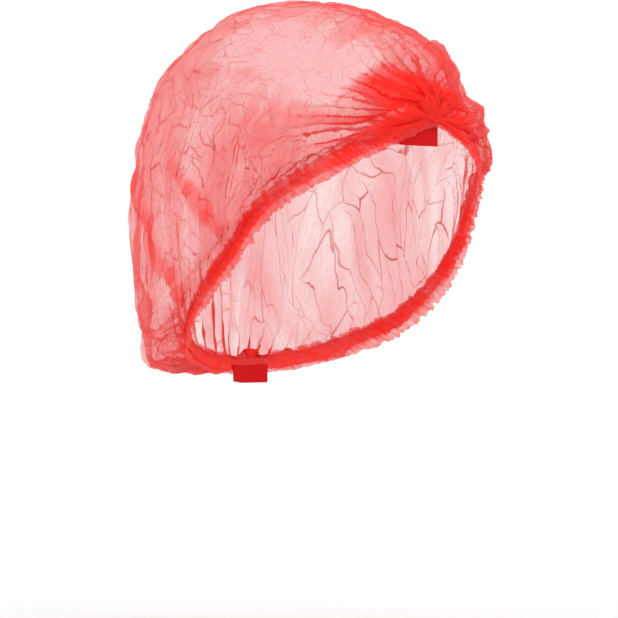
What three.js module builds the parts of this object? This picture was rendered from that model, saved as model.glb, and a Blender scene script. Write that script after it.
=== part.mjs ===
import * as THREE from "three";

// Disposable pleated hairnet in its worn shape: a sheer crown, two gathered hems with their
// elastics, and the welded strip ends at forehead and nape. Sizes are in millimetres.
// +X is the wearer's left, -Y the face, +Z up. The origin is the inside of the crown where it
// lies on top of the head.

// The head that the hem grips
const headHalfWidth = 80;
const headHalfLength = 102;
const foreheadDrop = 62.5; // elastic line below the origin at the forehead
const napeDrop = 209; // elastic line below the origin at the nape

// The crown
const clothWall = 1.4; // wall measured towards the middle of the head
const crownHalfWidth = 93;
const crownFrontReach = 110;
const crownBackReach = 128;
const bagSag = 42; // pull on the loose bag at the nape, which hangs about a quarter of it
const tuckReach = 0.35; // where the cloth turns up from the hem, as a share of the way out
const tuckRise = 0.3; // and as a share of the way up to the widest line
const pleatDepth = 4.2;
const pleatCount = 10;
const gatherDepth = 2.6;
const gatherCount = 10;

// The hems and their elastics
const bandHeight = 7.5;
const bandWall = 2.4;
const frillHeight = 4.5;
const frillWall = 1;
const frillWave = 1.8;
const frillCount = 30; // ruffles along each hem
const elasticWidth = 3.2;
const elasticWall = 1;

// The welded ends of the strip
const weldWall = 1.6;
const frontWeldRight = 22; // reach of the front tab to the wearer's right of the middle
const frontWeldLeft = 6;
const frontWeldHeight = 16;
const rearWeldHalfWidth = 12;
const rearWeldHeight = 10;

// Gaps between touching pieces
const seatGap = 0.3;
const hemEndGap = 0.6;

// The mesh
const crownAcross = 48;
const crownAlong = 40;
const hemSteps = 92;
const elasticSteps = 46;

// The elastic line from forehead (0 degrees) round to nape (180): reach is a share of the head's
// half sizes, drop the share of the way from foreheadDrop to napeDrop.
const rimRows = [
  { turn: 0, reach: 1.05, drop: 0 },
  { turn: 12, reach: 1.035, drop: 0.048 },
  { turn: 30, reach: 1.015, drop: 0.13 },
  { turn: 46, reach: 1.015, drop: 0.215 },
  { turn: 64, reach: 1.02, drop: 0.345 },
  { turn: 78, reach: 1.02, drop: 0.54 },
  { turn: 94, reach: 1.005, drop: 0.72 },
  { turn: 108, reach: 0.94, drop: 0.835 },
  { turn: 120, reach: 0.875, drop: 0.897 },
  { turn: 145, reach: 0.75, drop: 0.972 },
  { turn: 180, reach: 0.7, drop: 1 },
];

// The crown's widest line by the same turn: swell is a share of the crown's reach, drop a share of
// the crown edge's drop, sag a share of bagSag, and dome the exponent of the arch above it.
const crownRows = [
  { turn: 0, swell: 0.97, drop: 0.88, sag: 0, dome: 1.8 },
  { turn: 30, swell: 0.96, drop: 0.86, sag: 0, dome: 1.75 },
  { turn: 60, swell: 0.965, drop: 0.8, sag: 0, dome: 1.85 },
  { turn: 90, swell: 1, drop: 0.74, sag: 0.15, dome: 2.4 },
  { turn: 120, swell: 1.03, drop: 0.74, sag: 0.8, dome: 2.7 },
  { turn: 150, swell: 1.02, drop: 0.74, sag: 1, dome: 2.75 },
  { turn: 180, swell: 0.98, drop: 0.7, sag: 1, dome: 2.6 },
];

// Single folds and dents. turn is in degrees, plus to the wearer's left; lift is the share of the
// way from hem to crown top; rise is a share of foldRise, width a share of foldWidth.
const foldRise = 12;
const foldWidth = 14;
const foldRows = [
  { name: "standing pleat end", turn: 10, lift: 0.28, toTurn: 14, toLift: 0.44, rise: 1, width: 0.5 },
  { name: "valley below it", turn: 27, lift: 0.26, toTurn: 56, toLift: 0.42, rise: -0.75, width: 0.65 },
  { name: "left forehead puff", turn: 22, lift: 0.12, toTurn: 40, toLift: 0.2, rise: 0.2, width: 0.7 },
  { name: "left temple puff", turn: 54, lift: 0.05, toTurn: 62, toLift: 0.16, rise: 0.15, width: 0.7 },
  { name: "weld pinch", turn: 0, lift: 0.1, toTurn: 2, toLift: 0.26, rise: -0.4, width: 0.45 },
  { name: "right forehead puff", turn: -18, lift: 0.1, toTurn: -26, toLift: 0.2, rise: 0.3, width: 0.8 },
  { name: "right ear fold", turn: -106, lift: 0.06, toTurn: -122, toLift: 0.5, rise: 0.4, width: 0.55 },
  { name: "right ear valley", turn: -112, lift: 0.05, toTurn: -140, toLift: 0.42, rise: -0.35, width: 0.6 },
  { name: "right nape fold", turn: -114, lift: 0.05, toTurn: -160, toLift: 0.3, rise: 0.35, width: 0.55 },
  { name: "right bag crease", turn: -112, lift: 0.33, toTurn: -146, toLift: 0.31, rise: -0.4, width: 0.5 },
  { name: "right back crease", turn: -116, lift: 0.43, toTurn: -140, toLift: 0.44, rise: -0.35, width: 0.5 },
  { name: "left ear fold", turn: 104, lift: 0.06, toTurn: 118, toLift: 0.5, rise: 0.4, width: 0.55 },
  { name: "left nape fold", turn: 116, lift: 0.05, toTurn: 158, toLift: 0.34, rise: 0.35, width: 0.55 },
  { name: "nape tuck", turn: 178, lift: 0.04, toTurn: 182, toLift: 0.16, rise: -0.5, width: 0.5 },
];

const fabricRed = "#f4635f";
const hemRed = "#ee3a38";
const elasticPink = "#ff8f88";
const weldRed = "#c4141a";

const radians = THREE.MathUtils.degToRad;
const degrees = THREE.MathUtils.radToDeg;
const mix = THREE.MathUtils.lerp;
const smooth = THREE.MathUtils.smoothstep;

// A column of a table at any turn, as a smooth curve through the rows that is level at both ends.
function columnAt(rows, column, turn) {
  const last = rows.length - 1;
  let i = 0;
  while (i < last - 1 && turn > rows[i + 1].turn) i++;
  const slopeAt = (k) =>
    k === 0 || k === last
      ? 0
      : (rows[k + 1][column] - rows[k - 1][column]) / (rows[k + 1].turn - rows[k - 1].turn);
  const span = rows[i + 1].turn - rows[i].turn;
  const s = (turn - rows[i].turn) / span;
  const startShare = (1 + 2 * s) * (1 - s) ** 2;
  return (
    startShare * rows[i][column] +
    (1 - startShare) * rows[i + 1][column] +
    s * (1 - s) ** 2 * span * slopeAt(i) -
    s ** 2 * (1 - s) * span * slopeAt(i + 1)
  );
}

// The elastic line's point at a turn; side is 1 on the wearer's left and -1 on the right.
function rimPoint(turn, side) {
  const reach = columnAt(rimRows, "reach", turn);
  const a = radians(turn);
  return new THREE.Vector3(
    side * headHalfWidth * reach * Math.sin(a),
    -headHalfLength * reach * Math.cos(a),
    -mix(foreheadDrop, napeDrop, columnAt(rimRows, "drop", turn)),
  );
}

// The frame of the hem there: along it, out from the head, and down over the skin.
function rimFrame(turn, side) {
  const step = 0.5; // degrees
  const before = rimPoint(Math.max(turn - step, 0), side);
  const after = rimPoint(Math.min(turn + step, 180), side);
  const along = after.sub(before).normalize();
  if (turn < step || turn > 180 - step) along.setY(0).setZ(0).normalize();
  const a = radians(turn);
  const out = new THREE.Vector3((side * Math.sin(a)) / headHalfWidth, -Math.cos(a) / headHalfLength, 0);
  out.addScaledVector(along, -out.dot(along)).normalize();
  const down = new THREE.Vector3().crossVectors(along, out).multiplyScalar(side);
  return { origin: rimPoint(turn, side), along, out, down };
}

// How far the crown's edge lies above the elastic line in the upright plane of a turn.
function edgeLift(turn) {
  const down = rimFrame(turn, 1).down;
  return (bandHeight / 2 + seatGap + clothWall) / Math.max(-down.z, 0.5);
}

// The smooth crown without folds. turn is 0 to 180; lift runs from 0 at the hem to 1 on top.
function crownBase(turn, side, lift) {
  const a = radians(turn);
  const rim = rimPoint(turn, side);
  const edge = { x: Math.abs(rim.x), y: rim.y, z: rim.z + edgeLift(turn) };
  const swell = columnAt(crownRows, "swell", turn);
  const wideX = crownHalfWidth * swell * Math.sin(a);
  const wideY = -(turn < 90 ? crownFrontReach : crownBackReach) * swell * Math.cos(a);
  const wideZ = edge.z * columnAt(crownRows, "drop", turn);
  const sagShare = columnAt(crownRows, "sag", turn);
  const sag = bagSag * sagShare;
  const lowerLength = Math.hypot(wideX - edge.x, wideY - edge.y) + wideZ - edge.z + 0.5 * sag;
  const upperLength = 1.1 * Math.hypot(wideX, wideY, wideZ);
  const lowerShare = lowerLength / (lowerLength + upperLength);
  if (lift < lowerShare) {
    const s = lift / lowerShare;
    const [b0, b1, b2, b3] = [(1 - s) ** 3, 3 * s * (1 - s) ** 2, 3 * s ** 2 * (1 - s), s ** 3];
    const firstRise = edge.z + tuckRise * (1 - sagShare) * (wideZ - edge.z);
    return new THREE.Vector3(
      side * (edge.x * b0 + mix(edge.x, wideX, tuckReach) * b1 + wideX * (b2 + b3)),
      edge.y * b0 + mix(edge.y, wideY, tuckReach) * b1 + wideY * (b2 + b3),
      edge.z * b0 + firstRise * b1 + (edge.z - sag) * b2 + wideZ * b3,
    );
  }
  const arch = (((lift - lowerShare) / (1 - lowerShare)) * Math.PI) / 2;
  const power = 2 / columnAt(crownRows, "dome", turn);
  const inward = Math.max(Math.cos(arch), 0) ** power;
  const upward = Math.sin(arch) ** power;
  return new THREE.Vector3(side * wideX * inward, wideY * inward, mix(wideZ, clothWall, upward));
}

// Height of the single folds at a place on the crown.
function foldHeight(turn, lift) {
  const turnScale = (headHalfLength * Math.PI) / 180; // millimetres a degree
  const liftScale = napeDrop; // millimetres from hem to top, about
  let height = 0;
  for (const row of foldRows) {
    const spread = (1 - lift) ** 0.5;
    const px = (turn - row.turn) * turnScale * spread;
    const py = (lift - row.lift) * liftScale;
    const dx = (row.toTurn - row.turn) * turnScale * spread;
    const dy = (row.toLift - row.lift) * liftScale;
    const s = THREE.MathUtils.clamp((px * dx + py * dy) / (dx * dx + dy * dy), 0, 1);
    const away = Math.hypot(px - s * dx, py - s * dy) / (foldWidth * row.width);
    height += foldRise * row.rise * Math.exp(-(away ** 2));
  }
  return height;
}

// The crown's outer face. across runs -1 (right hem) to 1 (left hem), along 0 (forehead) to 1 (nape).
function crownPoint(across, along) {
  const flatX = across * Math.sin(Math.PI * along);
  const flatY = Math.cos(Math.PI * along);
  const turn = degrees(Math.atan2(Math.abs(flatX), flatY));
  const side = flatX < 0 ? -1 : 1;
  const lift = Math.max(1 - Math.hypot(flatX, flatY), 0);
  const point = crownBase(turn, side, lift);
  const fromEnd = Math.min(along, 1 - along);
  const fromHem = 1 - Math.abs(across);
  const pleatFade = smooth(fromEnd, 0.03, 0.12) * (1 - 0.9 * smooth(fromEnd, 0.14, 0.42));
  const pleats = Math.cos(Math.PI * pleatCount * (across + 0.08 * Math.sin(5 * across + 4 * along)));
  const gatherFade = smooth(fromHem, 0.02, 0.14) * (1 - smooth(fromHem, 0.2, 0.75));
  const gathers = Math.cos(
    2 * Math.PI * gatherCount * (along + 0.012 * Math.sin(9 * along) + 0.05 * fromHem),
  );
  const edgeFade = smooth(fromHem, 0, 0.1) * smooth(fromEnd, 0.02, 0.05);
  const height =
    pleatDepth * pleatFade * pleats * smooth(fromHem, 0, 0.2) +
    gatherDepth * gatherFade * gathers * smooth(fromEnd, 0.06, 0.16) +
    edgeFade * foldHeight(side * turn, lift);
  return point.addScaledVector(inwards(point), -height);
}

// The way from a point on the crown to the middle of the head.
function inwards(point) {
  const middle = new THREE.Vector3(0, 0, -(foreheadDrop + napeDrop) / 2.7);
  return middle.sub(point).normalize();
}

// A closed solid from two grids of points that face each other, outer and inner.
function sheetSolid(outer, inner) {
  const rows = outer.length;
  const columns = outer[0].length;
  const points = [...outer.flat(), ...inner.flat()];
  const index = [];
  const quad = (a, b, c, d) => index.push(a, c, b, a, d, c);
  const at = (i, j) => i * columns + j;
  const under = (i, j) => rows * columns + at(i, j);
  for (let i = 0; i < rows - 1; i++)
    for (let j = 0; j < columns - 1; j++) {
      quad(at(i, j), at(i + 1, j), at(i + 1, j + 1), at(i, j + 1));
      quad(under(i, j), under(i, j + 1), under(i + 1, j + 1), under(i + 1, j));
    }
  for (let i = 0; i < rows - 1; i++) {
    quad(at(i, 0), under(i, 0), under(i + 1, 0), at(i + 1, 0));
    quad(at(i + 1, columns - 1), under(i + 1, columns - 1), under(i, columns - 1), at(i, columns - 1));
  }
  for (let j = 0; j < columns - 1; j++) {
    quad(at(0, j + 1), under(0, j + 1), under(0, j), at(0, j));
    quad(at(rows - 1, j), under(rows - 1, j), under(rows - 1, j + 1), at(rows - 1, j + 1));
  }
  const geometry = new THREE.BufferGeometry().setFromPoints(points);
  return geometry.setIndex(index);
}

// A closed solid swept through sections of equal point count; profile is one section laid flat.
function sweptSolid(sections, profile, side) {
  const count = profile.length;
  const index = [];
  const face = (a, b, c) => (side > 0 ? index.push(a, b, c) : index.push(a, c, b));
  for (let i = 0; i < sections.length - 1; i++)
    for (let j = 0; j < count; j++) {
      const [a, b] = [i * count + j, i * count + ((j + 1) % count)];
      face(a, a + count, b + count);
      face(a, b + count, b);
    }
  const end = (sections.length - 1) * count;
  for (const [a, b, c] of THREE.ShapeUtils.triangulateShape(profile, [])) {
    face(a, b, c);
    face(end + a, end + c, end + b);
  }
  return new THREE.BufferGeometry().setFromPoints(sections.flat()).setIndex(index);
}

// Sweeps a profile of (down, out) pairs along the hem of one side.
function alongHem(side, steps, profileAt) {
  const start = degrees(hemEndGap / 2 / (headHalfWidth * rimRows[0].reach));
  const finish = 180 - degrees(hemEndGap / 2 / (headHalfWidth * rimRows.at(-1).reach));
  const sections = [];
  for (let i = 0; i <= steps; i++) {
    const share = i / steps;
    const turn = mix(start, finish, share);
    const { origin, out, down } = rimFrame(turn, side);
    sections.push(
      profileAt(share).map(([d, n]) =>
        origin.clone().addScaledVector(down, d).addScaledVector(out, n),
      ),
    );
  }
  const flat = profileAt(0.25).map(([d, n]) => new THREE.Vector2(d, n));
  return sweptSolid(sections, flat, side);
}

// The gathered band over the elastic, with the ruffled selvedge below it.
function hemGeometry(side) {
  return alongHem(side, hemSteps, (share) => {
    const fromEnd = Math.min(share, 1 - share);
    const frill = frillHeight * mix(0.3, 1, smooth(fromEnd, 0.05, 0.35));
    const sway = Math.sin(2 * Math.PI * frillCount * share) * smooth(fromEnd, 0.01, 0.06);
    const edge = frillWall / 2 + frillWave * (1 + sway);
    const lowest = bandHeight / 2 + frill * (1 + 0.08 * Math.sin(7 * frillCount * share));
    return [
      [-bandHeight / 2, 0],
      [bandHeight / 2, 0],
      [lowest, edge - frillWall / 2],
      [lowest, edge + frillWall / 2],
      [bandHeight / 2 + frillWall, bandWall / 2 + frillWall / 2],
      [bandHeight / 2, bandWall],
      [-bandHeight / 2, bandWall],
    ];
  });
}

// The flat double elastic that lies along the band.
function elasticGeometry(side) {
  const inner = bandWall + seatGap;
  return alongHem(side, elasticSteps, () => [
    [-elasticWidth / 2, inner],
    [elasticWidth / 2, inner],
    [elasticWidth / 2, inner + elasticWall],
    [-elasticWidth / 2, inner + elasticWall],
  ]);
}

function crownGeometry() {
  const firstAlong = 0.03;
  const outer = [];
  const inner = [];
  for (let i = 0; i <= crownAlong; i++) {
    const along = mix(firstAlong, 1 - firstAlong, i / crownAlong);
    const row = [];
    for (let j = 0; j <= crownAcross; j++) row.push(crownPoint(mix(-1, 1, j / crownAcross), along));
    outer.push(row);
    inner.push(row.map((p) => p.clone().addScaledVector(inwards(p), clothWall)));
  }
  return sheetSolid(outer, inner);
}

// A welded strip end: a thin tab that lies on the skin behind the hems, seated against them.
// It runs from the fromX to the toX side of the middle, at the forehead or at the nape.
function weldGeometry(fromX, toX, height, atNape) {
  const columns = 10;
  const reach = rimRows.at(atNape ? -1 : 0).reach;
  const outer = [];
  const inner = [];
  for (let j = 0; j <= columns; j++) {
    const x = mix(fromX, toX, j / columns);
    const front = degrees(Math.asin(Math.abs(x) / (headHalfWidth * reach)));
    const turn = atNape ? 180 - front : front;
    const { origin, out } = rimFrame(turn, x < 0 ? -1 : 1);
    const bottom = rimPoint(atNape ? 180 : 0, 1).z - height;
    const face = origin.clone().addScaledVector(out, -seatGap);
    const back = face.clone().addScaledVector(out, -weldWall);
    outer.push([face.clone().setZ(bottom), face]);
    inner.push([back.clone().setZ(bottom), back]);
  }
  return atNape ? sheetSolid(outer, inner) : sheetSolid(inner, outer);
}

function piece(name, geometry, color, roughness) {
  const material = new THREE.MeshStandardMaterial({ color, roughness, metalness: 0 });
  const mesh = new THREE.Mesh(geometry, material);
  mesh.name = name;
  return mesh;
}

const frontWeld = weldGeometry(-frontWeldRight, frontWeldLeft, frontWeldHeight, false);
const rearWeld = weldGeometry(-rearWeldHalfWidth, rearWeldHalfWidth, rearWeldHeight, true);

const hairnet = new THREE.Group();
hairnet.add(
  piece("crown", crownGeometry(), fabricRed, 0.8),
  piece("hem_right", hemGeometry(-1), hemRed, 0.8),
  piece("hem_left", hemGeometry(1), hemRed, 0.8),
  piece("elastic_right", elasticGeometry(-1), elasticPink, 0.6),
  piece("elastic_left", elasticGeometry(1), elasticPink, 0.6),
  piece("front_weld", frontWeld, weldRed, 0.5),
  piece("rear_weld", rearWeld, weldRed, 0.5),
);

export default hairnet;
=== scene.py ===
import math
import bpy
import numpy as np
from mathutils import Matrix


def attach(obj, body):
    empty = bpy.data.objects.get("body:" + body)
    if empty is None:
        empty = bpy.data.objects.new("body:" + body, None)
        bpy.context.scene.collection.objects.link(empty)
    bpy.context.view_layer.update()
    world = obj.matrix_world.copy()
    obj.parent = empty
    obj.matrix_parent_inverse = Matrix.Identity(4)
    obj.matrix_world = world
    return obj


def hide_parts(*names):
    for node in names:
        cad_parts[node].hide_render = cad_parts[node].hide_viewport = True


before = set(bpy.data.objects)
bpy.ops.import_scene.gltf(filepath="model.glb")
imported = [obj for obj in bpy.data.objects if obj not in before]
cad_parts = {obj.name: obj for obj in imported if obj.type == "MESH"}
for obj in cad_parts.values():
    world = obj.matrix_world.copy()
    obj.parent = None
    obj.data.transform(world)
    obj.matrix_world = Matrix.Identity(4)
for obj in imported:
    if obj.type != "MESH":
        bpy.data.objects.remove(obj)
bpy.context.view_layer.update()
print("frame loaded")

# Lengths are in millimetres until a mesh is made. The wearer faces -Y, +X is the wearer's left, and
# the origin is inside the crown, where it lies on top of the head.


def toLinear(hexColor):
    values = [int(hexColor[i:i + 2], 16) / 255 for i in (1, 3, 5)]
    return [v / 12.92 if v <= 0.04045 else ((v + 0.055) / 1.055) ** 2.4 for v in values] + [1]


def addNode(tree, kind, inputs=None, **settings):
    node = tree.nodes.new(kind)
    for name, value in settings.items():
        setattr(node, name, value)
    for socket, value in (inputs or {}).items():
        if isinstance(value, bpy.types.NodeSocket):
            tree.links.new(value, node.inputs[socket])
        else:
            node.inputs[socket].default_value = value
    return node


def mathNode(tree, operation, *values):
    return addNode(tree, "ShaderNodeMath", dict(enumerate(values)), operation=operation).outputs[0]


def vectorNode(tree, operation, *values):
    return addNode(tree, "ShaderNodeVectorMath", dict(enumerate(values)), operation=operation).outputs[0]


def rangeNode(tree, value, low, high, start, end, **settings):
    return addNode(tree, "ShaderNodeMapRange", {0: value, 1: low, 2: high, 3: start, 4: end},
                   **settings).outputs[0]


def flatNoise(tree, place, size, detail):
    return addNode(tree, "ShaderNodeTexNoise", {"Vector": place, "Scale": 1 / size, "Detail": detail},
                   noise_dimensions="2D")


def storedValue(tree, name, kind="FLOAT"):
    return addNode(tree, "GeometryNodeInputNamedAttribute", {"Name": name}, data_type=kind).outputs[0]


def pushOut(tree, geometry, height):
    # moves the cloth along its normals by a height in metres
    normal = addNode(tree, "GeometryNodeInputNormal")
    shift = addNode(tree, "ShaderNodeVectorMath", {0: normal.outputs[0], "Scale": height},
                    operation="SCALE")
    moved = addNode(tree, "GeometryNodeSetPosition", {"Geometry": geometry, "Offset": shift.outputs[0]})
    return moved.outputs[0]


def startTree(name, sizes):
    # a geometry tree with one named float input for each size
    tree = bpy.data.node_groups.new(name, "GeometryNodeTree")
    tree.interface.new_socket("Geometry", in_out="INPUT", socket_type="NodeSocketGeometry")
    for label, value in sizes.items():
        socket = tree.interface.new_socket(label, in_out="INPUT", socket_type="NodeSocketFloat")
        socket.default_value = value
    tree.interface.new_socket("Geometry", in_out="OUTPUT", socket_type="NodeSocketGeometry")
    return tree, addNode(tree, "NodeGroupInput")


def endTree(tree, geometry, material):
    realized = addNode(tree, "GeometryNodeRealizeInstances", {"Geometry": geometry})
    painted = addNode(tree, "GeometryNodeSetMaterial",
                      {"Geometry": realized.outputs[0], "Material": material})
    addNode(tree, "NodeGroupOutput", {"Geometry": painted.outputs[0]})


def runTree(piece, tree, sizes):
    modifier = piece.modifiers.new(tree.name, "NODES")
    modifier.node_group = tree
    for item in tree.interface.items_tree:
        if item.in_out == "INPUT" and item.name in sizes:
            modifier[item.identifier] = float(sizes[item.name])
    graph = bpy.context.evaluated_depsgraph_get()
    made = bpy.data.meshes.new_from_object(piece.evaluated_get(graph), depsgraph=graph,
                                           preserve_all_data_layers=True)
    piece.modifiers.remove(modifier)
    plain = piece.data
    piece.data = made
    bpy.data.meshes.remove(plain)
    made.name = piece.name


def gridFaces(rows, columns):
    i = np.arange(rows * columns).reshape(rows, columns)
    corners = [i[:-1, :-1], i[:-1, 1:], i[1:, 1:], i[1:, :-1]]
    return np.stack(corners, axis=-1).reshape(-1, 4).tolist()


def makePiece(name, points):
    # points is a grid in millimetres, rows by columns
    mesh = bpy.data.meshes.new(name)
    mesh.from_pydata((points.reshape(-1, 3) * 0.001).tolist(), [], gridFaces(*points.shape[:2]))
    mesh.polygons.foreach_set("use_smooth", [True] * len(mesh.polygons))
    mesh.update()
    piece = bpy.data.objects.new(name, mesh)
    bpy.context.collection.objects.link(piece)
    return piece


def storeValues(mesh, grids):
    for name, values in grids.items():
        kind, field = ("FLOAT_VECTOR", "vector") if values.ndim == 3 else ("FLOAT", "value")
        mesh.attributes.new(name, kind, "POINT").data.foreach_set(field, values.ravel())


def rise(x, low, high):
    s = np.clip((x - low) / (high - low), 0, 1)
    return s * s * (3 - 2 * s)


def drift(x, y, seed):
    # smooth random values from -1 to 1, about one bump a unit
    column, row = np.floor(x).astype(np.int64), np.floor(y).astype(np.int64)
    fx, fy = x - column, y - row
    fx, fy = fx * fx * (3 - 2 * fx), fy * fy * (3 - 2 * fy)

    def corner(i, j):
        mixed = (i * 374761393 + j * 668265263 + seed * 974711) & 0xFFFFFFFF
        mixed = ((mixed ^ (mixed >> 13)) * 1274126177) & 0xFFFFFFFF
        return ((mixed ^ (mixed >> 16)) & 0xFFFF) / 32767.5 - 1

    top = corner(column, row) * (1 - fx) + corner(column + 1, row) * fx
    low = corner(column, row + 1) * (1 - fx) + corner(column + 1, row + 1) * fx
    return top * (1 - fy) + low * fy


# The worn form, as in the solids

wornForm = {
    "headHalfWidth": 80, "headHalfLength": 102, "foreheadDrop": 62.5, "napeDrop": 209,
    "crownHalfWidth": 93, "crownFrontReach": 110, "crownBackReach": 128,
    "bagSag": 42, "tuckReach": 0.35, "tuckRise": 0.3, "crownStandOff": 1.4,
    "bandHeight": 7.5, "frillHeight": 4.5,
    "flatLength": 490, "flatWidth": 445,  # the crown's cloth between welds and hems before it was pleated
}

# the elastic line: turn in degrees from forehead to nape, reach and drop as shares of the form
rimRows = [
    {"turn": 0, "reach": 1.05, "drop": 0}, {"turn": 12, "reach": 1.035, "drop": 0.048},
    {"turn": 30, "reach": 1.015, "drop": 0.13}, {"turn": 46, "reach": 1.015, "drop": 0.215},
    {"turn": 64, "reach": 1.02, "drop": 0.345}, {"turn": 78, "reach": 1.02, "drop": 0.54},
    {"turn": 94, "reach": 1.005, "drop": 0.72}, {"turn": 108, "reach": 0.94, "drop": 0.835},
    {"turn": 120, "reach": 0.875, "drop": 0.897}, {"turn": 145, "reach": 0.75, "drop": 0.972},
    {"turn": 180, "reach": 0.7, "drop": 1},
]

# the widest line of the crown and the arch above it
crownRows = [
    {"turn": 0, "swell": 0.97, "drop": 0.88, "sag": 0, "dome": 1.8},
    {"turn": 30, "swell": 0.96, "drop": 0.86, "sag": 0, "dome": 1.75},
    {"turn": 60, "swell": 0.965, "drop": 0.8, "sag": 0, "dome": 1.85},
    {"turn": 90, "swell": 1, "drop": 0.74, "sag": 0.15, "dome": 2.4},
    {"turn": 120, "swell": 1.03, "drop": 0.74, "sag": 0.8, "dome": 2.7},
    {"turn": 150, "swell": 1.02, "drop": 0.74, "sag": 1, "dome": 2.75},
    {"turn": 180, "swell": 0.98, "drop": 0.7, "sag": 1, "dome": 2.6},
]

# single folds: from one place to another, turn plus to the wearer's left, rise and width in
# millimetres, layers what the fold adds to the thickness of the cloth
foldRows = [
    # the flap beside the front weld, and the notches between it and the small lobes
    {"turn": 10, "lift": 0.28, "toTurn": 14, "toLift": 0.44, "rise": 12, "width": 7, "layers": 0.3},
    {"turn": 27, "lift": 0.26, "toTurn": 56, "toLift": 0.42, "rise": -13, "width": 9.5, "layers": 0.2},
    {"turn": 30, "lift": 0.14, "toTurn": 58, "toLift": 0.24, "rise": -7, "width": 6, "layers": 0.3},
    {"turn": 62, "lift": 0.03, "toTurn": 74, "toLift": 0.14, "rise": -4, "width": 8, "layers": 0},
    # a ridge over the front hem, the back drawn in a little and the top lowered a little
    {"turn": -5, "lift": 0.05, "toTurn": -24, "toLift": 0.055, "rise": 4.5, "width": 6, "layers": 0.2},
    {"turn": -108, "lift": 0.52, "toTurn": -152, "toLift": 0.5, "rise": -0.8, "width": 17, "layers": 0},
    {"turn": 0, "lift": 1, "toTurn": 1, "toLift": 1, "rise": -2.2, "width": 45, "layers": 0},
    # thin cloth behind the flap, the cut under it and the swell of the lobes
    {"turn": 32, "lift": 0.32, "toTurn": 38, "toLift": 0.2, "rise": 0, "width": 8, "layers": -0.8},
    {"turn": 22, "lift": 0.29, "toTurn": 33, "toLift": 0.36, "rise": -6, "width": 4.5, "layers": 0},
    {"turn": 22, "lift": 0.12, "toTurn": 40, "toLift": 0.2, "rise": 2.4, "width": 10, "layers": 0},
    {"turn": 54, "lift": 0.05, "toTurn": 62, "toLift": 0.16, "rise": 1.8, "width": 10, "layers": 0},
    # the groove above the front weld, the dense patch on its right and a ridge beside that
    {"turn": 0, "lift": 0.1, "toTurn": 2, "toLift": 0.26, "rise": -4.8, "width": 6.5, "layers": 0.6},
    {"turn": -3, "lift": 0.13, "toTurn": -20, "toLift": 0.29, "rise": 2.5, "width": 13.5, "layers": 2.8},
    {"turn": -18, "lift": 0.1, "toTurn": -26, "toLift": 0.2, "rise": 3.6, "width": 11, "layers": 0},
    # the bag at the nape, first on the right, then on the left
    {"turn": -106, "lift": 0.06, "toTurn": -120, "toLift": 0.36, "rise": 3.6, "width": 8, "layers": 0},
    {"turn": -112, "lift": 0.05, "toTurn": -140, "toLift": 0.42, "rise": -4, "width": 8, "layers": 0.4},
    {"turn": -114, "lift": 0.05, "toTurn": -160, "toLift": 0.3, "rise": 4.2, "width": 8, "layers": 0},
    {"turn": -112, "lift": 0.3, "toTurn": -146, "toLift": 0.28, "rise": -6.5, "width": 5.5, "layers": 0.3},
    {"turn": -116, "lift": 0.43, "toTurn": -140, "toLift": 0.44, "rise": -1.2, "width": 7, "layers": 0},
    {"turn": 104, "lift": 0.06, "toTurn": 118, "toLift": 0.5, "rise": 4.8, "width": 8, "layers": 0.3},
    {"turn": 116, "lift": 0.05, "toTurn": 158, "toLift": 0.34, "rise": 4.2, "width": 8, "layers": 0},
    # where the cloth lies thin
    {"turn": -36, "lift": 0.4, "toTurn": -66, "toLift": 0.62, "rise": 1, "width": 26, "layers": -1.2},
    {"turn": -118, "lift": 0.25, "toTurn": -140, "toLift": 0.2, "rise": 0, "width": 26, "layers": -0.5},
    {"turn": 132, "lift": 0.64, "toTurn": 165, "toLift": 0.74, "rise": 0, "width": 26, "layers": -0.65},
    # narrow dense folds that run down to the right hem, two of them bent
    {"turn": -99, "lift": 0.37, "toTurn": -89, "toLift": 0.28, "rise": 1.8, "width": 2.2, "layers": 1},
    {"turn": -89, "lift": 0.28, "toTurn": -82, "toLift": 0.21, "rise": 1.8, "width": 2.2, "layers": 1},
    {"turn": -82, "lift": 0.21, "toTurn": -77, "toLift": 0.11, "rise": 1.8, "width": 2.2, "layers": 1},
    {"turn": -120, "lift": 0.41, "toTurn": -109, "toLift": 0.31, "rise": 1.8, "width": 2.4, "layers": 1.2},
    {"turn": -109, "lift": 0.31, "toTurn": -100, "toLift": 0.22, "rise": 1.8, "width": 2.4, "layers": 1.2},
    {"turn": -100, "lift": 0.22, "toTurn": -100, "toLift": 0.07, "rise": 1.8, "width": 2.4, "layers": 1.2},
    {"turn": -114, "lift": 0.23, "toTurn": -103, "toLift": 0.01, "rise": 1.2, "width": 1.8, "layers": 1},
    # a dense strip along the bag, and the notch above the rear weld
    {"turn": -118, "lift": 0.03, "toTurn": -147, "toLift": 0.09, "rise": 0, "width": 4.5, "layers": 1.2},
    {"turn": 178, "lift": 0.04, "toTurn": 182, "toLift": 0.16, "rise": -6, "width": 7, "layers": 0.6},
]
foldEdges = {"wander": 0.9, "wanderTurn": 6, "wanderLift": 18, "crispBelow": 3}


def columnAt(rows, column, turn):
    # smooth through the rows and level at both ends
    turns = np.array([row["turn"] for row in rows], float)
    values = np.array([row[column] for row in rows], float)
    slopes = np.zeros(len(rows))
    slopes[1:-1] = (values[2:] - values[:-2]) / (turns[2:] - turns[:-2])
    i = np.clip(np.searchsorted(turns, turn, side="right") - 1, 0, len(rows) - 2)
    span = turns[i + 1] - turns[i]
    s = (turn - turns[i]) / span
    start = (1 + 2 * s) * (1 - s) ** 2
    bend = s * (1 - s) ** 2 * slopes[i] - s ** 2 * (1 - s) * slopes[i + 1]
    return start * values[i] + (1 - start) * values[i + 1] + span * bend


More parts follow.
